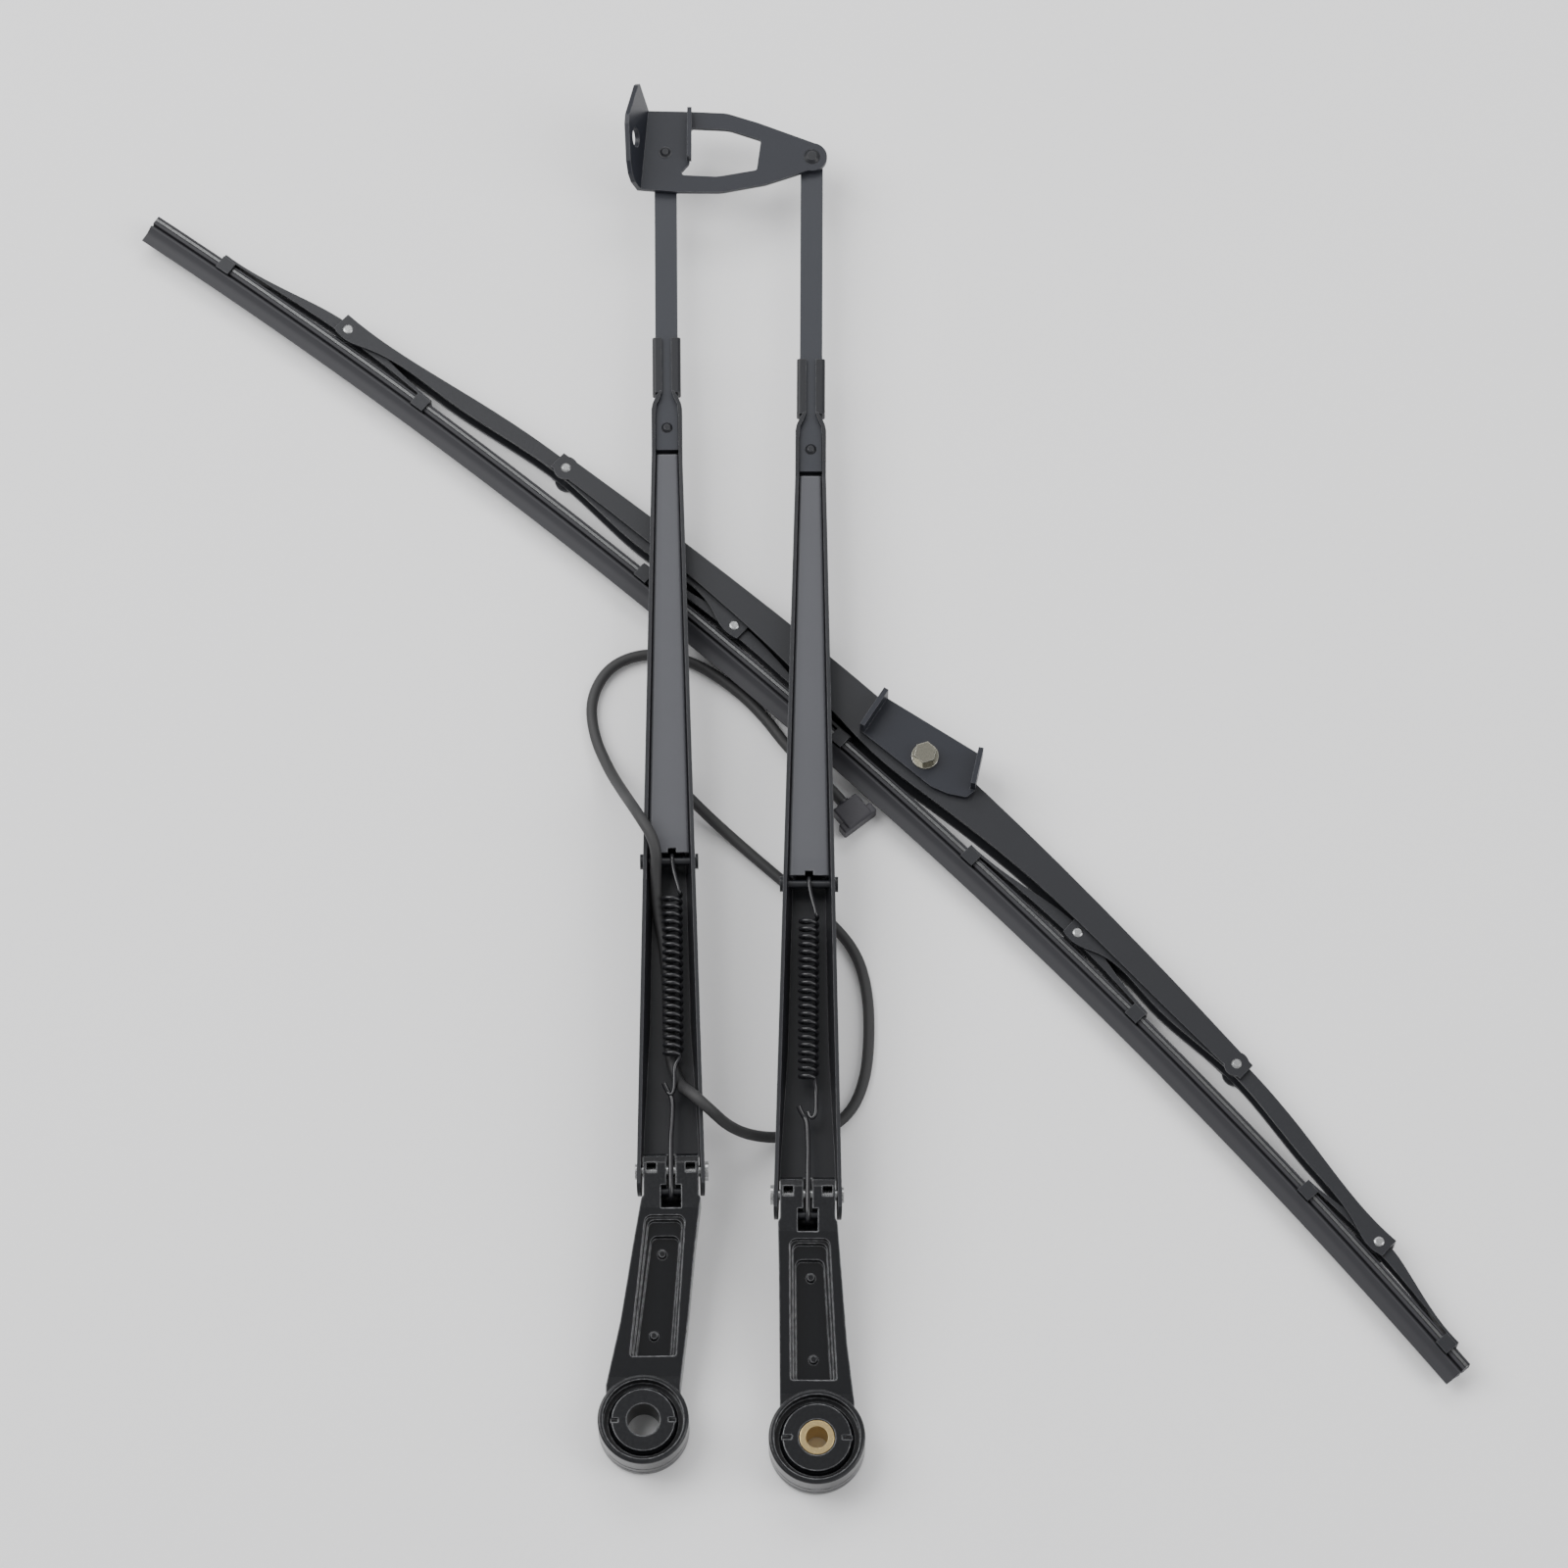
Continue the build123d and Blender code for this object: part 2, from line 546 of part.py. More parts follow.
def primary_bridge():
    """Main lever. Its roof is open over both pivots, where the secondary levers show."""
    (s2, h2), (s5, h5) = joint("J2"), joint("J5")
    top = [(s2 - 5, h2 + 4.0), (-75, 51.4), (BOLT_S, 54.1), (125, 49.6), (s5 + 5, h5 + 3.8)]
    low = [(s2 - 5, h2 - 3.6), (-110, 40.2), (-45, 40.6), (-5, 37.6), (22, 35.4), (50, 37.0), (95, 39.2),
           (165, 36.0), (s5 + 5, h5 - 3.6)]
    body = lever(top, low, PRIMARY_WIDTH, LEVER_SHEET, [(s2, h2, 4.9), (s5, h5, 4.9)], [PIN, PIN])
    inner = PRIMARY_WIDTH / 2 - LEVER_SHEET
    for start, end, h in ((s2 - 14, s2 + 12, h2), (s5 - 20, s5 + 14, h5)):
        body -= box(start, end, h - 10, h + 12, BLADE_MID_Z - inner, BLADE_MID_Z + inner)
    body -= Pos(BOLT_S, lip(BOLT_S) + BOLT_RISE, BLADE_MID_Z) * Cylinder(BOLT_RADIUS + 0.2, 40)
    return solid(body)


def secondary_bridge(outer, pivot, inner):
    """Lever between an end yoke and an inner yoke, rocking on the primary bridge."""
    (sa, ha), (sm, hm), (sb, hb) = sorted([joint(outer), joint(pivot), joint(inner)])
    top = [(sa - 4.6, ha + 4.7), (sa + 5, ha + 5.0), ((sa + sm) / 2, (ha + hm) / 2 + 4.0), (sm, hm + 2.7),
           ((sm + sb) / 2, (hm + hb) / 2 + 4.0), (sb - 5, hb + 5.0), (sb + 4.6, hb + 4.7)]
    low = [(sa - 4.6, ha - 3.4), (sa + 4.5, ha - 3.6), (sa + 11, ha - 1.2),
           ((sa + sm) / 2, (ha + hm) / 2 - 2.6), (sm, hm - 3.6), ((sm + sb) / 2, (hm + hb) / 2 - 2.6),
           (sb - 11, hb - 1.2), (sb - 4.5, hb - 3.6), (sb + 4.6, hb - 3.4)]
    ears = [(sa, ha, 3.6), (sm, hm, 3.7), (sb, hb, 3.6)]
    return lever(top, low, SECONDARY_WIDTH, LEVER_SHEET, ears, [PIN, PIN + RUNNING, PIN])


def claw_yoke(pivot, claw_low, claw_high):
    """End lever with a claw at each tip that grips the splines of the rubber."""
    s, h = joint(pivot)
    sa, sb = claw_low, claw_high
    ha, hb = lip(sa) + RUBBER_HEIGHT, lip(sb) + RUBBER_HEIGHT
    top = [(sa - 3, ha + 1.7), ((sa + s) / 2, (ha + h) / 2 + 2.1), (s, h + 2.4),
           ((s + sb) / 2, (h + hb) / 2 + 2.1), (sb + 3, hb + 1.7)]
    low = [(sa - 3, ha + 0.35), ((sa + s) / 2, (ha + h) / 2 - 0.6), (s, h - 2.6),
           ((s + sb) / 2, (h + hb) / 2 - 0.6), (sb + 3, hb + 0.35)]
    body = lever(top, low, YOKE_WIDTH, YOKE_SHEET, [(s, h, 2.9)], [PIN + RUNNING])
    for at in (sa, sb):
        slope = -math.degrees(math.asin(at / LIP_RADIUS))
        claws = claw(-1) + claw(1)
        body += Pos(at, lip(at) + RUBBER_HEIGHT, BLADE_MID_Z) * Rot(0, 0, slope) * claws
    return solid(body)


def claw(side):
    """One hooked finger, from the lever's flange down round the rubber's head."""
    inner, outer = YOKE_WIDTH / 2 - YOKE_SHEET + 0.4, YOKE_WIDTH / 2 + 0.4
    finger = box(-3, 3, -4.6, 0.9, inner, outer)
    hook = box(-3, 3, -4.6, -4.1, 1.3, outer)
    return finger + hook if side > 0 else mirror(finger + hook, about=Plane.XY)


def rubber():
    """Wiper element: lip, shoulder, neck, and the head that the splines sit in."""
    half = [(0.35, 0.0), (0.5, 2.6), (2.6, 6.3), (2.6, 6.9), (0.9, 7.0), (0.9, 7.7), (1.7, 7.8),
            (2.7, 8.0), (2.7, 9.4), (1.9, 9.45), (1.9, 10.75), (2.7, 10.8), (2.7, RUBBER_HEIGHT)]
    return swept_along_lip([(BLADE_MID_Z + z, h) for z, h in half]
                           + [(BLADE_MID_Z - z, h) for z, h in reversed(half)])


def spline_rail(side):
    """Spring steel strip in the side of the rubber's head."""
    z0, z1 = sorted((BLADE_MID_Z + side * 1.9, BLADE_MID_Z + side * 2.7))
    return swept_along_lip([(z0, 9.5), (z1, 9.5), (z1, 10.7), (z0, 10.7)])


def swept_along_lip(section):
    """Turns a section, given as (z, height above the lip), about the centre of the lip's arc."""
    half_turn = math.degrees(math.asin(BLADE_HALF_LENGTH / LIP_RADIUS))
    centre = LIP_RISE - LIP_RADIUS
    plan = make_face(Polyline(*[(0, LIP_RADIUS + h, z) for z, h in section], close=True))
    turned = revolve(plan.rotate(Axis.Z, half_turn), axis=Axis.Z, revolution_arc=-2 * half_turn)
    return solid(Pos(0, centre, 0) * turned)


def lever_pin(name, width, dome):
    """Rivet through a lever joint, flush below and domed above."""
    s, h = joint(name)
    low, high = BLADE_MID_Z - width / 2, BLADE_MID_Z + width / 2
    pin = rod((s, h, low), (s, h, high), PIN)
    return solid(pin + Pos(s, h, high) * Cone(2.1, 1.4, dome, align=BASE))


def adapter_plate():
    """Flat bracket bolted to the bridge, with an upstanding ear at each end."""
    z0 = BLADE_MID_Z + PRIMARY_WIDTH / 2
    body = rounded_prism(ADAPTER_OUTLINE, [0.5, 0.5, 2.0, 2.0, 2.0, 6.0, 0.5], z0, z0 + ADAPTER_T)
    for (s0, h0), (s1, h1), side in ((ADAPTER_OUTLINE[0], ADAPTER_OUTLINE[-1], 1),
                                     (ADAPTER_OUTLINE[1], ADAPTER_OUTLINE[2], -1)):
        along = Vector(s1 - s0, h1 - h0).normalized()
        inward = Vector(-along.Y, along.X) * side * ADAPTER_T
        a, b = Vector(s0, h0) - along * 0.8, Vector(s1, h1)
        foot = [(v.X, v.Y) for v in (a, b, b + inward, a + inward)]
        body += prism(foot, z0, z0 + ADAPTER_EAR)
    body -= Pos(BOLT_S, lip(BOLT_S) + BOLT_RISE, z0) * Cylinder(BOLT_RADIUS + 0.2, 20)
    return solid(body)


def adapter_bolt():
    """Hexagon bolt through the adapter plate and the bridge."""
    s, h = BOLT_S, lip(BOLT_S) + BOLT_RISE
    seat = BLADE_MID_Z + PRIMARY_WIDTH / 2 + ADAPTER_T + 0.8
    head_body = Pos(0, 0, seat) * extrude(RegularPolygon(4.0, 6, major_radius=False), amount=4.2)
    shank = rod((0, 0, 1.6), (0, 0, seat + 1), BOLT_RADIUS)
    return solid(Pos(s, h, 0) * (head_body + shank))


def adapter_washer():
    s, h = BOLT_S, lip(BOLT_S) + BOLT_RISE
    low = BLADE_MID_Z + PRIMARY_WIDTH / 2 + ADAPTER_T
    ring = Cylinder(5.4, 0.8, align=BASE) - Cylinder(BOLT_RADIUS + 0.2, 10)
    return solid(Pos(s, h, low) * ring)


def adapter_nut():
    """Nut inside the bridge channel."""
    s, h = BOLT_S, lip(BOLT_S) + BOLT_RISE
    nut = extrude(RegularPolygon(4.0, 6, major_radius=False), amount=4.0) - Cylinder(BOLT_RADIUS, 40)
    return solid(Pos(s, h, LEVER_SHEET + 0.4) * nut)


# ======================================================================================
# Washer hose
# ======================================================================================
HOSE_ROUTE = [
    (10.6, 260.6, 4.0), (1.6, 272.0, 3.4), (-10.6, 283.4, 2.7), (-20.4, 297.4, 2.5),
    (-31.8, 309.2, 2.5), (-48.0, 320.6, 2.5), (-65.5, 325.0, 2.5), (-81.6, 319.8, 2.5),
    (-89.6, 305.5, 2.5), (-88.2, 289.5, 2.6), (-81.8, 273.5, 6.0), (-75.6, 259.5, 18.0),
    (-70.2, 246.5, 33.4), (-62.0, 232.6, 34.2), (-62.7, 221.6, 26.4), (-62.1, 210.1, 20.7),
    (-59.2, 196.2, 18.8), (-57.6, 180.2, 18.8), (-57.5, 163.2, 18.8), (-56.7, 149.7, 18.8),
    (-52.8, 138.4, 20.2),
    (-48.6, 131.6, 34.8), (-41.2, 124.6, 35.0), (-33.4, 121.6, 20.0), (-23.6, 121.4, 8.4),
    (-10.6, 122.6, 2.9), (3.2, 125.0, 2.5), (13.8, 133.0, 2.5), (19.4, 147.0, 2.5),
    (20.9, 165.0, 2.5), (20.2, 183.0, 2.5), (15.8, 199.0, 2.5), (4.6, 212.4, 2.5),
    (-9.0, 224.6, 2.5), (-22.8, 236.8, 2.5), (-35.0, 248.0, 2.8), (-44.8, 256.6, 5.4),
    (-52.4, 263.4, 9.4),
]
JET_PLAN = (-58.6, 269.4)


def turn_at(a, b, c):
    """Angle in degrees by which a route turns at its middle point."""
    return (Vector(*b) - Vector(*a)).get_angle(Vector(*c) - Vector(*b))


def hose():
    """Hose along straight runs joined by arcs as large as the runs allow."""
    radii = []
    for a, b, c in zip(HOSE_ROUTE, HOSE_ROUTE[1:], HOSE_ROUTE[2:]):
        shorter = min((Vector(*b) - Vector(*a)).length, (Vector(*c) - Vector(*b)).length)
        radii.append(0.45 * shorter / math.tan(math.radians(turn_at(a, b, c)) / 2))
    path = FilletPolyline(*HOSE_ROUTE, radius=radii)
    start = Plane(origin=path @ 0, z_dir=path % 0)
    tube = sweep(start * Circle(HOSE_DIAMETER / 2), path=path)
    section = math.pi * HOSE_DIAMETER ** 2 / 4
    print("hose radii", [round(r, 1) for r in radii], "smallest", round(min(radii), 1))
    ratio = tube.volume / (section * path.length)
    print("hose length", round(path.length, 1), "volume ratio", round(ratio, 5))
    return solid(tube)


def hose_connector():
    """Moulded coupling at the hose's free end."""
    (ax, ay, az), (bx, by, bz) = HOSE_ROUTE[0], HOSE_ROUTE[1]
    out = math.degrees(math.atan2(by - ay, bx - ax))
    tilt = Vector(bx - ax, by - ay, bz - az).normalized()
    block = fillet(box(-11.4, -1.0, -5.8, 5.8, -3.9, 3.9).edges(), 0.8)
    flange = fillet(box(-11.8, -7.4, -8.0, 8.0, -3.4, 3.4).edges(), 0.8)
    body = Pos(ax, ay, az) * Rot(0, 0, out) * (block + flange)
    back = Vector(ax, ay, az) - tilt * 3.0
    return solid(body + rod(back, (ax, ay, az), HOSE_DIAMETER / 2 + 0.5))


def washer_jet():
    """Spray jet under the idler arm's web, with the spigot that the hose meets."""
    end, before = Vector(*HOSE_ROUTE[-1]), Vector(*HOSE_ROUTE[-2])
    along = (end - before).normalized()
    spigot = rod(end, end + along * 5.5, HOSE_DIAMETER / 2)
    block = fillet(box(-5.5, 5.5, -6.5, 6.5, WEB_Z - 7.0, WEB_Z).edges().group_by(Axis.Z)[0], 1.0)
    return solid(spigot + Pos(*JET_PLAN, 0) * block)


def main():
    os.makedirs("parts", exist_ok=True)
    for arm, spec in ARMS.items():
        inward = 1 if arm == "idler" else -1
        save(f"{arm}_head", place(arm, head(arm)))
        save(f"{arm}_arm_channel", place(arm, channel()))
        save(f"{arm}_arm_strip", place(arm, strip(spec["spring_x"])))
        save(f"{arm}_arm_rod", place(arm, arm_rod(arm)))
        save(f"{arm}_rod_rivet", place(arm, rod_rivet()))
        save(f"{arm}_hinge_pin", place(arm, hinge_pin(inward)))
        save(f"{arm}_cross_pin", place(arm, cross_pin()))
        save(f"{arm}_tension_spring", place(arm, tension_spring(spec["spring_x"], spec["leg_x"])))
        save(f"{arm}_spring_link", place(arm, spring_link(spec["spring_x"])))
        save(f"{arm}_hook_pin", place(arm, hook_pin()))
        save(f"{arm}_link_washer", link_washer(arm))
        save(f"{arm}_link_rivet", link_rivet(arm, 2.3 if arm == "idler" else 3.4))
    save("drive_spindle_insert", spindle_insert())
    save("link_plate", link_plate())

    save("primary_bridge", blade(primary_bridge()))
    save("upper_secondary_bridge", blade(secondary_bridge("J1", "J2", "J3")))
    save("lower_secondary_bridge", blade(secondary_bridge("J6", "J5", "J4")))
    save("upper_bridge_pin", blade(lever_pin("J2", PRIMARY_WIDTH, 0.7)))
    save("lower_bridge_pin", blade(lever_pin("J5", PRIMARY_WIDTH, 0.7)))
    yokes = {"J1": (-318.0, -218.0), "J3": (-100.7, 4.0), "J4": (75.5, 166.3), "J6": (263.0, 342.0)}
    for number, (name, (low, high)) in enumerate(yokes.items(), 1):
        save(f"claw_yoke_{number}", blade(claw_yoke(name, low, high)))
        save(f"yoke_pin_{number}", blade(lever_pin(name, SECONDARY_WIDTH, 0.35)))
    save("wiper_rubber", blade(rubber()))
    save("spline_rails", blade(spline_rail(-1)), blade(spline_rail(1)))
    save("adapter_plate", blade(adapter_plate()))
    save("adapter_bolt", blade(adapter_bolt()))
    save("adapter_washer", blade(adapter_washer()))
    save("adapter_nut", blade(adapter_nut()))

    save("washer_hose", hose())
    save("hose_connector", hose_connector())
    save("washer_jet", washer_jet())


main()
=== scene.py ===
import json
import math

import bmesh
import bpy
from mathutils import Matrix, Vector


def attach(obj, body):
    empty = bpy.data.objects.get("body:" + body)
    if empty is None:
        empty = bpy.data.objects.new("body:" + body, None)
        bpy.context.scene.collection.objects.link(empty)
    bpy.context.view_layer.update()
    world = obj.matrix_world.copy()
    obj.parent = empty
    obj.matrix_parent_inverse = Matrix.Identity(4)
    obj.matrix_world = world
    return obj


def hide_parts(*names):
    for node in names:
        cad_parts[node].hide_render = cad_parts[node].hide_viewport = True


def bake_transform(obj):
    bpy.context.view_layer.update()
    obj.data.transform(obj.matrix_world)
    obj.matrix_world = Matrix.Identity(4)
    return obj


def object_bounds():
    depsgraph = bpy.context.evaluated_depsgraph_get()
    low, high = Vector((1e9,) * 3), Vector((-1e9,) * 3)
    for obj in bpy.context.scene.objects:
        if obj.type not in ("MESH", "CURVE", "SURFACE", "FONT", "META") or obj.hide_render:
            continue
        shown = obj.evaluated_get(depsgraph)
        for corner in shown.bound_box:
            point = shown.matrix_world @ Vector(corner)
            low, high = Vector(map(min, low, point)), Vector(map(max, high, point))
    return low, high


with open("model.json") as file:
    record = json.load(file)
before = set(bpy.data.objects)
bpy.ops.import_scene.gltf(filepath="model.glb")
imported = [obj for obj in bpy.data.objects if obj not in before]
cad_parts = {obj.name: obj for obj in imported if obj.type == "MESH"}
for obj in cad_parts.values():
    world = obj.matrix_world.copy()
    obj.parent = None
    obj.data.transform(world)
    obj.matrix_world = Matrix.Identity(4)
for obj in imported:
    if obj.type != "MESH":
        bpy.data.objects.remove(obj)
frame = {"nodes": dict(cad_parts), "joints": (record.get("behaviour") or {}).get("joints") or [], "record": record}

# Twin-arm windshield wiper: looks only. Everything is in metres, in the row frame.
MM = 0.001
NODES = frame["nodes"]
RECORD = frame["record"]
JOINTS = {joint["name"]: joint for joint in frame["joints"]}
CAD_LOW, CAD_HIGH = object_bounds()
SCENE = bpy.context.scene


# ======================================================================================
# Camera, floor and light
# ======================================================================================
CAMERA_TILT = 20.0                       # degrees from straight down
CAMERA_DISTANCE = 2.5
CAMERA_LENS = 146.1                      # millimetres
SENSOR_WIDTH = 36.0                      # millimetres
CAMERA_REACH = 20.0                      # far clipping distance
AIM_SHIFT = Vector((-0.2, -9.0, 0.0)) * MM    # where it looks, from the middle of the CAD box
WORLD_STRENGTH = 0.55
FLOOR_HALF = 6.0
FLOOR_GAP = 0.3 * MM                     # from the floor up to the lowest CAD point
# name, place from the middle of the box, size, power in watts
LIGHTS = [
    ("key", (-1.6, 0.6, 2.0), (1.6, 2.4), 62.0),
    ("fill", (1.9, -0.4, 1.7), (1.2, 2.2), 26.0),
    ("top", (0.1, 1.9, 1.9), (2.4, 1.0), 26.0),
]


def middle_of_box():
    return (Vector(CAD_LOW) + Vector(CAD_HIGH)) / 2


def make_camera():
    data = bpy.data.cameras.new("camera")
    data.sensor_width = SENSOR_WIDTH
    data.lens = CAMERA_LENS
    data.clip_end = CAMERA_REACH
    camera = bpy.data.objects.new("camera", data)
    tilt = math.radians(CAMERA_TILT)
    back = Vector((0.0, -math.sin(tilt), math.cos(tilt)))
    camera.location = middle_of_box() + AIM_SHIFT + back * CAMERA_DISTANCE
    camera.rotation_euler = (tilt, 0.0, 0.0)
    SCENE.collection.objects.link(camera)
    SCENE.camera = camera


def area_light(name, offset, size, power):
    """A soft box that faces the middle of the wiper."""
    data = bpy.data.lights.new(name, "AREA")
    data.shape = "RECTANGLE"
    data.size, data.size_y = size
    data.energy = power
    light = bpy.data.objects.new(name, data)
    light.location = middle_of_box() + Vector(offset)
    light.rotation_euler = (-Vector(offset)).to_track_quat("-Z", "Y").to_euler()
    SCENE.collection.objects.link(light)


def make_studio():
    world = bpy.data.worlds.new("studio")
    world.use_nodes = True
    background = world.node_tree.nodes["Background"]
    background.inputs["Color"].default_value = (1.0, 1.0, 1.0, 1.0)
    background.inputs["Strength"].default_value = WORLD_STRENGTH
    SCENE.world = world
    for name, offset, size, power in LIGHTS:
        area_light(name, offset, size, power)

    mesh = bpy.data.meshes.new("floor")
    half, low = FLOOR_HALF, CAD_LOW[2] - FLOOR_GAP
    corners = [(-half, -half, low), (half, -half, low), (half, half, low), (-half, half, low)]
    mesh.from_pydata(corners, [], [(0, 1, 2, 3)])
    floor = bpy.data.objects.new("floor", mesh)
    SCENE.collection.objects.link(floor)
    mesh.materials.append(surface("floor_paper", (246, 246, 247), 0.9, speck=(2.5, 0.015),
                                  cloud=(90.0, 0.008), edge=0.0))


# ======================================================================================
# Materials
# ======================================================================================
def linear(colour):
    """Screen values 0 to 255 to scene-linear."""
    out = []
    for value in colour:
        c = value / 255.0
        out.append(c / 12.92 if c <= 0.04045 else ((c + 0.055) / 1.055) ** 2.4)
    return (*out, 1.0)


FINE_GRAIN = 0.05 * MM                   # height of the finish's own grain
BEVEL_SAMPLES = 4
EDGE_FLAT, EDGE_TURNED = 0.985, 0.86     # cosines between which the highlight painted along edges rises
HIGHLIGHT_BREAKUP = 2.5 * MM                  # size of the noise that breaks up that painted highlight


class Graph:
    """A material's node tree, with short calls for the few nodes used here."""

    def __init__(self, name):
        self.material = bpy.data.materials.new(name)
        self.material.use_nodes = True
        self.tree = self.material.node_tree
        self.shader = self.tree.nodes["Principled BSDF"]
        self.coords = self.add("ShaderNodeTexCoord").outputs["Object"]

    def add(self, kind, **values):
        node = self.tree.nodes.new(kind)
        for key, value in values.items():
            setattr(node, key, value)
        return node

    def link(self, source, target):
        self.tree.links.new(source, target)

    def noise(self, size, detail=3.0, stretch=(1.0, 1.0, 1.0), roughness=0.55):
        """Noise whose features are about size metres across."""
        mapping = self.add("ShaderNodeMapping")
        mapping.inputs["Scale"].default_value = stretch
        self.link(self.coords, mapping.inputs["Vector"])
        node = self.add("ShaderNodeTexNoise")
        node.inputs["Scale"].default_value = 1.0 / size
        node.inputs["Detail"].default_value = detail
        node.inputs["Roughness"].default_value = roughness
        self.link(mapping.outputs["Vector"], node.inputs["Vector"])
        return node.outputs["Fac"]

    def ramp(self, value, low, high, start, end):
        node = self.add("ShaderNodeMapRange")
        limits = {"From Min": low, "From Max": high, "To Min": start, "To Max": end}
        for key, number in limits.items():
            node.inputs[key].default_value = number
        self.link(value, node.inputs["Value"])
        return node.outputs["Result"]

    def mix(self, factor, first, second):
        node = self.add("ShaderNodeMix", data_type="RGBA")
        self.link(factor, node.inputs["Factor"])
        for value, socket in ((first, node.inputs["A"]), (second, node.inputs["B"])):
            if isinstance(value, tuple):
                socket.default_value = value
            else:
                self.link(value, socket)
        return node.outputs["Result"]

    def bump(self, height, distance, strength, normal=None):
        node = self.add("ShaderNodeBump")
        node.inputs["Strength"].default_value = strength
        node.inputs["Distance"].default_value = distance
        self.link(height, node.inputs["Height"])
        if normal is not None:
            self.link(normal, node.inputs["Normal"])
        return node.outputs["Normal"]

    def highlight_mask(self, rounded, amount):
        """Mask of the highlight painted along edges: rises where the rounded normal leaves the face's own normal,
        broken up by noise.
        """
        turn = self.add("ShaderNodeVectorMath", operation="DOT_PRODUCT")
        self.link(rounded, turn.inputs[0])
        self.link(self.add("ShaderNodeNewGeometry").outputs["Normal"], turn.inputs[1])
        both = self.add("ShaderNodeMath", operation="MULTIPLY")
        self.link(self.ramp(turn.outputs["Value"], EDGE_FLAT, EDGE_TURNED, 0.0, 1.0), both.inputs[0])
        patchy_highlight = self.ramp(self.noise(HIGHLIGHT_BREAKUP), 0.35, 0.65, 0.4 * amount, amount)
        self.link(patchy_highlight, both.inputs[1])
        return both.outputs["Value"]


def tint(colour, factor):
    return tuple(min(1.0, c * factor) for c in colour[:3]) + (1.0,)


def surface(name, colour, rough, metal=0.0, speck=(0.7, 0.12), cloud=(30.0, 0.05), edge=0.35,
            painted_edge_light=None, grain=None, bump=0.25, shine=0.5):
    """
    A finish with its own fine grain, slow change of tone and softened edges.
    speck and cloud are (size in millimetres, change of tone).
    edge is the edge radius in millimetres; the edge-highlight argument is (colour, amount): a highlight painted
    into the colour along edges.
    grain stretches the fine noise; bump is its strength; shine is the specular level.
    """
    graph = Graph(name)
    base = linear(colour)
    fine = graph.noise(speck[0] * MM, 4.0, grain or (1.0, 1.0, 1.0))
    broad = graph.noise(cloud[0] * MM, 3.0)
    tone = graph.mix(graph.ramp(fine, 0.3, 0.7, 0.0, 1.0),
                     tint(base, 1 - speck[1]), tint(base, 1 + speck[1]))
    veil = graph.mix(graph.ramp(broad, 0.3, 0.7, 0.0, 1.0),
                     tint(base, 1 - cloud[1]), tint(base, 1 + cloud[1]))
    half = graph.add("ShaderNodeMix", data_type="RGBA")
    half.inputs["Factor"].default_value = 0.5
    graph.link(tone, half.inputs["A"])
    graph.link(veil, half.inputs["B"])
    tone = half.outputs["Result"]
    normal = None
    if edge:
        round_edge = graph.add("ShaderNodeBevel", samples=BEVEL_SAMPLES)
        round_edge.inputs["Radius"].default_value = edge * MM
        normal = round_edge.outputs["Normal"]
    # Painted highlight: a light colour mixed into the base colour along edges, not light from any lamp.
    if painted_edge_light:
        tone = graph.mix(graph.highlight_mask(normal, painted_edge_light[1]), tone, linear(painted_edge_light[0]))
    graph.link(tone, graph.shader.inputs["Base Color"])
    graph.link(graph.ramp(fine, 0.25, 0.75, rough - 0.05, rough + 0.07),
               graph.shader.inputs["Roughness"])
    graph.shader.inputs["Metallic"].default_value = metal
    graph.shader.inputs["Specular IOR Level"].default_value = shine
    graph.link(graph.bump(fine, FINE_GRAIN, bump, normal), graph.shader.inputs["Normal"])
    return graph.material


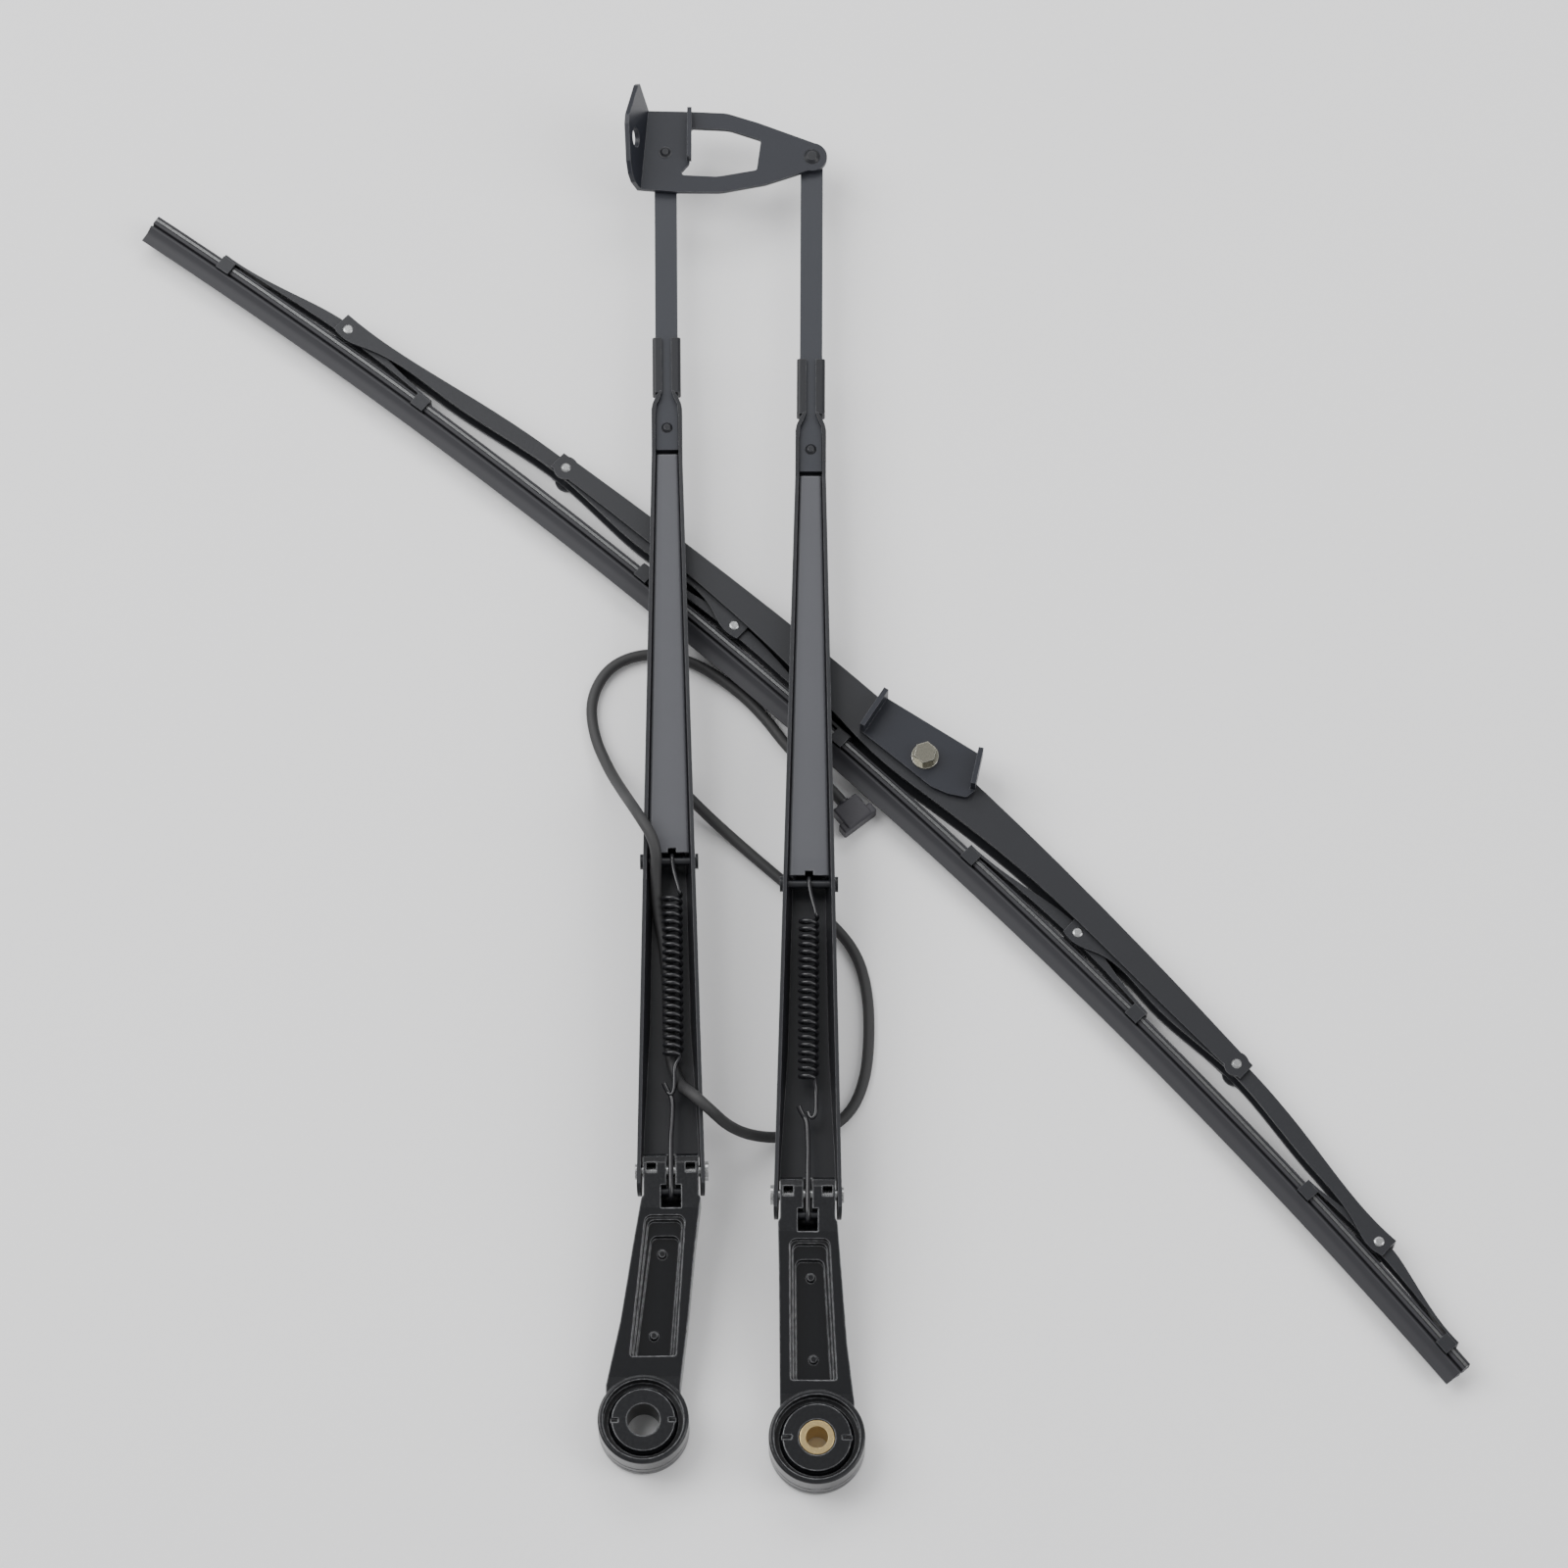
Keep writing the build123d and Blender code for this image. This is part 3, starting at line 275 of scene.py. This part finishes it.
def make_materials():
    # The greys given with each edge-highlight argument below are painted highlights along edges, not the finish's
    # own colour.
    light = (150, 151, 154)
    return {
        "arm_paint": surface("arm_paint", (30, 31, 35), 0.36, speck=(0.5, 0.10), shine=0.35,
                             painted_edge_light=(light, 0.55)),
        "strip_paint": surface("strip_paint", (72, 73, 78), 0.38, speck=(0.6, 0.05), edge=0.9, shine=0.4,
                               painted_edge_light=((190, 191, 193), 0.35)),
        "rod_paint": surface("rod_paint", (46, 48, 54), 0.38, speck=(0.5, 0.08), shine=0.35,
                             painted_edge_light=(light, 0.45)),
        "head_paint": surface("head_paint", (19, 20, 23), 0.20, speck=(0.9, 0.14), edge=0.8, bump=0.3,
                              shine=0.4, painted_edge_light=((168, 169, 172), 0.8)),
        "plate_paint": surface("plate_paint", (34, 36, 43), 0.38, speck=(0.5, 0.08), shine=0.35,
                               painted_edge_light=(light, 0.5)),
        "blade_paint": surface("blade_paint", (34, 35, 39), 0.34, speck=(0.5, 0.10), shine=0.4,
                               painted_edge_light=(light, 0.5)),
        "pin_steel": surface("pin_steel", (176, 177, 178), 0.26, metal=0.9, speck=(0.4, 0.2), edge=0.3),
        "spring_steel": surface("spring_steel", (34, 34, 37), 0.22, speck=(0.4, 0.15), edge=0.0, shine=0.5),
        "rail_steel": surface("rail_steel", (112, 113, 114), 0.30, metal=1.0, grain=(1.0, 1.0, 6.0),
                              edge=0.1),
        "zinc": surface("zinc", (150, 148, 136), 0.20, metal=1.0, speck=(0.6, 0.14), edge=0.5,
                        painted_edge_light=((236, 235, 226), 0.9)),
        "brass": surface("brass", (214, 190, 138), 0.22, metal=1.0, grain=(1.0, 1.0, 8.0), edge=0.3),
        "rubber": surface("rubber", (44, 44, 48), 0.52, speck=(0.4, 0.12), edge=0.15, shine=0.35),
        "hose_rubber": surface("hose_rubber", (50, 50, 51), 0.58, speck=(0.5, 0.12), edge=0.0, bump=0.4,
                               shine=0.4),
        "black_plastic": surface("black_plastic", (54, 53, 58), 0.44, speck=(0.8, 0.10), edge=0.6, bump=0.4,
                                 shine=0.4),
    }


def dress_nodes(materials):
    """Gives every CAD node the finish of its slot in the record."""
    for part in RECORD["subparts"]:
        mesh = NODES[part["node"]].data
        mesh.materials.clear()
        mesh.materials.append(materials[part["material_slot"]])


# ======================================================================================
# Tubes and wires
# ======================================================================================
def add_object(name, data, finish):
    thing = bpy.data.objects.new(name, data)
    data.materials.clear()
    data.materials.append(finish)
    SCENE.collection.objects.link(thing)
    return thing


def wire_mesh(name, points, radius, order=4, resolution=4):
    """A round wire drawn along points, as a mesh."""
    curve = bpy.data.curves.new(name + "_line", "CURVE")
    curve.dimensions = "3D"
    curve.bevel_depth = radius
    curve.bevel_resolution = 3
    curve.resolution_u = resolution
    curve.use_fill_caps = True
    spline = curve.splines.new("NURBS")
    spline.points.add(len(points) - 1)
    for point, place in zip(spline.points, points):
        point.co = (*place, 1.0)
    spline.order_u = order
    spline.use_endpoint_u = True
    holder = bpy.data.objects.new(name + "_line", curve)
    mesh = bpy.data.meshes.new_from_object(holder)
    mesh.name = name
    bpy.data.objects.remove(holder)
    for face in mesh.polygons:
        face.use_smooth = True
    return mesh


# Points of the hose from the spray jet to its connector, in millimetres.
HOSE_ROUTE = [
    (-52.4, 263.4, 9.4), (-44.8, 256.6, 5.4), (-35.0, 248.0, 2.8), (-22.8, 236.8, 2.5),
    (-9.0, 224.6, 2.5), (4.6, 212.4, 2.5), (15.8, 199.0, 2.5), (20.2, 183.0, 2.5),
    (20.9, 165.0, 2.5), (19.4, 147.0, 2.5), (13.8, 133.0, 2.5), (3.2, 125.0, 2.5),
    (-10.6, 122.6, 2.9), (-23.6, 121.4, 8.4), (-33.4, 121.6, 20.0), (-41.2, 124.6, 35.0),
    (-48.6, 131.6, 34.8), (-52.8, 138.4, 20.2), (-56.7, 149.7, 18.8), (-57.5, 163.2, 18.8),
    (-57.6, 180.2, 18.8), (-59.2, 196.2, 18.8), (-62.1, 210.1, 20.7), (-62.7, 221.6, 26.4),
    (-62.0, 232.6, 34.2), (-70.2, 246.5, 33.4), (-75.6, 259.5, 18.0), (-81.8, 273.5, 6.0),
    (-88.2, 289.5, 2.6), (-89.6, 305.5, 2.5), (-81.6, 319.8, 2.5), (-65.5, 325.0, 2.5),
    (-48.0, 320.6, 2.5), (-31.8, 309.2, 2.5), (-20.4, 297.4, 2.5), (-10.6, 283.4, 2.7),
    (1.6, 272.0, 3.4), (10.6, 260.6, 4.0),
]
HOSE_DIAMETER = 4.4 * MM


def make_hose(materials):
    curve = bpy.data.curves.new("washer_hose_line", "CURVE")
    curve.dimensions = "3D"
    curve.bevel_depth = HOSE_DIAMETER / 2
    curve.bevel_resolution = 6
    curve.resolution_u = 8
    curve.use_fill_caps = True
    spline = curve.splines.new("NURBS")
    spline.points.add(len(HOSE_ROUTE) - 1)
    for point, place in zip(spline.points, HOSE_ROUTE):
        point.co = (*(Vector(place) * MM), 1.0)
    spline.order_u = 3
    spline.use_endpoint_u = True
    hose = add_object("washer_hose_tube", curve, materials["hose_rubber"])
    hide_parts("washer_hose")
    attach(hose, "idler_arm")


# ======================================================================================
# Springs
# ======================================================================================
# Millimetres in the arm's own frame: x across, y along from the hinge pin, z up.
SPRING_X = {"idler": 1.1, "drive": 0.0}
LEG_X = {"idler": 1.5, "drive": 3.0}     # the spring's lower leg
LINK_AT = 31.5                           # where the leg hooks into the link wire
SPRING_AT = (44.5, 112.5)                # start and end of the coils
SPRING_Z = (25.9, 25.5)                  # coil axis at the start and at the end
SPRING_TURNS = 21
POINTS_PER_TURN = 16
FIRST_COIL_ANGLE = 35.0                  # degrees
COIL_RADIUS = 3.4                        # of the wire's centre line
WIRE_RADIUS = 0.8
LINK_WIRE_RADIUS = 1.0
CROSS_PIN_AT, CROSS_PIN_Z = 125.4, 24.6
HOOK_PIN_AT, HOOK_PIN_Z = -9.0, 25.6
HOOK_PIN_RADIUS = 1.5
LINK_ABOVE_PIN = 1.35                    # centre line of the link wire above the hook pin


def arm_matrix(arm):
    """From millimetres in the arm's own frame, hinge at the origin, to the row frame."""
    joint = JOINTS[arm + "_arm_fold"]
    across = Vector(joint["axis"]).normalized()
    along = Vector((0, 0, 1)).cross(across)
    turn = Matrix((across, along, Vector((0, 0, 1)))).transposed().to_4x4()
    place = Vector(joint["pos_m"])
    place.z = 0.0
    return Matrix.Translation(place) @ turn @ Matrix.Scale(MM, 4)


def spring_points(x, leg_x):
    """Hooked lower leg, coils and upper hook of a tension spring, in the arm's frame."""
    low, high = SPRING_AT
    points = [(leg_x - 3.0, LINK_AT + 1.0, 24.9), (leg_x - 2.4, LINK_AT - 1.2, 25.2),
              (leg_x - 0.9, LINK_AT - 1.7, 25.8), (leg_x, LINK_AT + 0.4, 26.1),
              (leg_x + 0.1, LINK_AT + 5.0, 26.1), (leg_x, low - 3.0, 26.2),
              (x + 2.4, low - 0.8, 27.2)]
    steps = SPRING_TURNS * POINTS_PER_TURN
    for step in range(steps + 1):
        part = step / steps
        turn = math.radians(FIRST_COIL_ANGLE) + 2 * math.pi * SPRING_TURNS * part
        along = low + WIRE_RADIUS + (high - low - 2 * WIRE_RADIUS) * part
        axis_z = SPRING_Z[0] + (SPRING_Z[1] - SPRING_Z[0]) * part
        points.append((x + COIL_RADIUS * math.cos(turn), along,
                       axis_z + COIL_RADIUS * math.sin(turn)))
    points += [(x + 2.6, high + 1.0, 27.4), (x + 1.7, high + 4.0, 27.3), (x + 0.6, high + 8.5, 27.3),
               (x + 0.1, CROSS_PIN_AT - 1.5, CROSS_PIN_Z + 2.6), (x, CROSS_PIN_AT + 0.6, CROSS_PIN_Z + 2.7),
               (x, CROSS_PIN_AT + 2.5, CROSS_PIN_Z + 1.2), (x, CROSS_PIN_AT + 2.4, CROSS_PIN_Z - 1.4),
               (x, CROSS_PIN_AT + 0.4, CROSS_PIN_Z - 2.6)]
    return points


def link_points(x):
    """Wire from the spring's leg, over the hinge pin, round the hook pin."""
    over = HOOK_PIN_Z + HOOK_PIN_RADIUS + LINK_ABOVE_PIN
    return [(x - 3.6, LINK_AT + 3.0, 26.4), (x - 2.8, LINK_AT + 0.8, 25.6), (x - 1.4, LINK_AT - 0.6, 24.6),
            (x - 0.5, LINK_AT - 3.0, 25.2), (x - 0.2, LINK_AT - 7.0, 26.0), (x * 0.5, 18.0, 26.9),
            (0.0, 12.0, over - 0.3), (0.0, 4.0, over), (0.0, -3.0, over + 0.1),
            (0.0, HOOK_PIN_AT + 0.4, over), (0.0, HOOK_PIN_AT - 2.7, HOOK_PIN_Z + 1.6),
            (0.0, HOOK_PIN_AT - 2.7, HOOK_PIN_Z - 1.2), (0.0, HOOK_PIN_AT - 0.6, HOOK_PIN_Z - 2.6)]


def make_springs(materials):
    for arm, x in SPRING_X.items():
        to_row = arm_matrix(arm)
        path = [to_row @ Vector(p) for p in spring_points(x, LEG_X[arm])]
        coils = wire_mesh(arm + "_spring_coils", path, WIRE_RADIUS * MM, order=3, resolution=2)
        spring = add_object(arm + "_spring_coils", coils, materials["spring_steel"])
        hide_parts(arm + "_tension_spring")
        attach(spring, arm + "_arm")
        path = [to_row @ Vector(p) for p in link_points(x)]
        bent = wire_mesh(arm + "_spring_hook_wire", path, LINK_WIRE_RADIUS * MM, resolution=12)
        wire = add_object(arm + "_spring_hook_wire", bent, materials["spring_steel"])
        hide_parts(arm + "_spring_link")
        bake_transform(wire)


# ======================================================================================
# Rubber and its spline rails, in lengths; a length on a single lever follows it
# ======================================================================================
# Millimetres, in the row frame.
BLADE_MID = Vector((-15.35, 264.75, 0.0))     # middle of the blade's chord
BLADE_ANGLE = -42.99                     # degrees, the chord from the x axis
LIP_RADIUS = 2560.0                      # of the wiping lip's free curve
LIP_RISE = 22.1                          # the lip's middle above the chord
BLADE_MID_Z = 7.0                        # mid plane of the blade
STATION_STEP = 6.0                       # between cross sections
CREASE_ANGLE = 28                        # degrees
# Half cross sections as (z from the mid plane, height above the lip).
RUBBER_HALF = [(0.30, 0.0), (0.42, 0.8), (0.5, 2.6), (1.3, 4.6), (2.45, 5.9), (2.6, 6.2), (2.6, 6.75),
               (2.35, 6.95), (0.9, 7.05), (0.9, 7.65), (1.7, 7.8), (2.55, 7.95), (2.7, 8.15), (2.7, 9.3),
               (1.9, 9.45), (1.9, 10.75), (2.55, 10.8), (2.7, 10.95), (2.7, 11.55), (2.55, 11.7)]
RAIL_HALF = [(1.92, 9.5), (2.66, 9.5), (2.74, 9.6), (2.74, 10.6), (2.66, 10.7), (1.92, 10.7)]
# (from, to, body it follows or the two bodies that it lies between and stays still), along the chord
STRETCHES = [
    (-352, -218, "yoke_1"), (-218, -160, "yoke_1", "upper_secondary"),
    (-160, -100.7, "upper_secondary", "yoke_2"), (-100.7, 4, "yoke_2"),
    (4, 22, "yoke_2", "upper_secondary"), (22, 40, "upper_secondary", "blade"),
    (40, 57, "blade", "lower_secondary"), (57, 75.5, "lower_secondary", "yoke_3"),
    (75.5, 166.3, "yoke_3"), (166.3, 215, "yoke_3", "lower_secondary"),
    (215, 263, "lower_secondary", "yoke_4"), (263, 352, "yoke_4"),
]


def on_lip(s, height, z):
    """A point of the blade at s along the chord and a height above the lip, in metres."""
    angle = math.asin(s / LIP_RADIUS)
    reach = LIP_RADIUS + height
    local = Vector((reach * math.sin(angle), LIP_RISE - LIP_RADIUS + reach * math.cos(angle), z))
    return (BLADE_MID + Matrix.Rotation(math.radians(BLADE_ANGLE), 3, "Z") @ local) * MM


def strip_mesh(name, sections, start, end, caps):
    """Sections of (z from the mid plane, height), carried along the lip."""
    mesh = bpy.data.meshes.new(name)
    work = bmesh.new()
    count = max(2, round((end - start) / STATION_STEP))
    for section in sections:
        rings = []
        for step in range(count + 1):
            s = start + (end - start) * step / count
            rings.append([work.verts.new(on_lip(s, h, BLADE_MID_Z + z)) for z, h in section])
        for first, second in zip(rings, rings[1:]):
            for a in range(len(section)):
                b = (a + 1) % len(section)
                work.faces.new((first[a], first[b], second[b], second[a]))
        if caps[0]:
            work.faces.new(rings[0][::-1])
        if caps[1]:
            work.faces.new(rings[-1])
    bmesh.ops.recalc_face_normals(work, faces=work.faces)
    work.to_mesh(mesh)
    work.free()
    for face in mesh.polygons:
        face.use_smooth = True
    mesh.set_sharp_from_angle(angle=math.radians(CREASE_ANGLE))
    return mesh


def make_strips(materials):
    rubber = [RUBBER_HALF + [(-z, h) for z, h in reversed(RUBBER_HALF)]]
    rails = [RAIL_HALF, [(-z, h) for z, h in RAIL_HALF]]
    for kind, sections, node, slot in (("rubber_length", rubber, "wiper_rubber", "rubber"),
                                       ("rail_length", rails, "spline_rails", "rail_steel")):
        for number, (start, end, *bodies) in enumerate(STRETCHES, 1):
            name = f"{kind}_{number:02d}"
            caps = (number == 1, number == len(STRETCHES))
            piece = add_object(name, strip_mesh(name, sections, start, end, caps), materials[slot])
            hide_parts(node)
            if len(bodies) == 1:
                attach(piece, bodies[0])
            else:
                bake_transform(piece)


# ======================================================================================
# The scene
# ======================================================================================
def main():
    make_camera()
    finishes = make_materials()
    make_hose(finishes)
    make_studio()
    dress_nodes(finishes)
    make_springs(finishes)
    make_strips(finishes)


main()
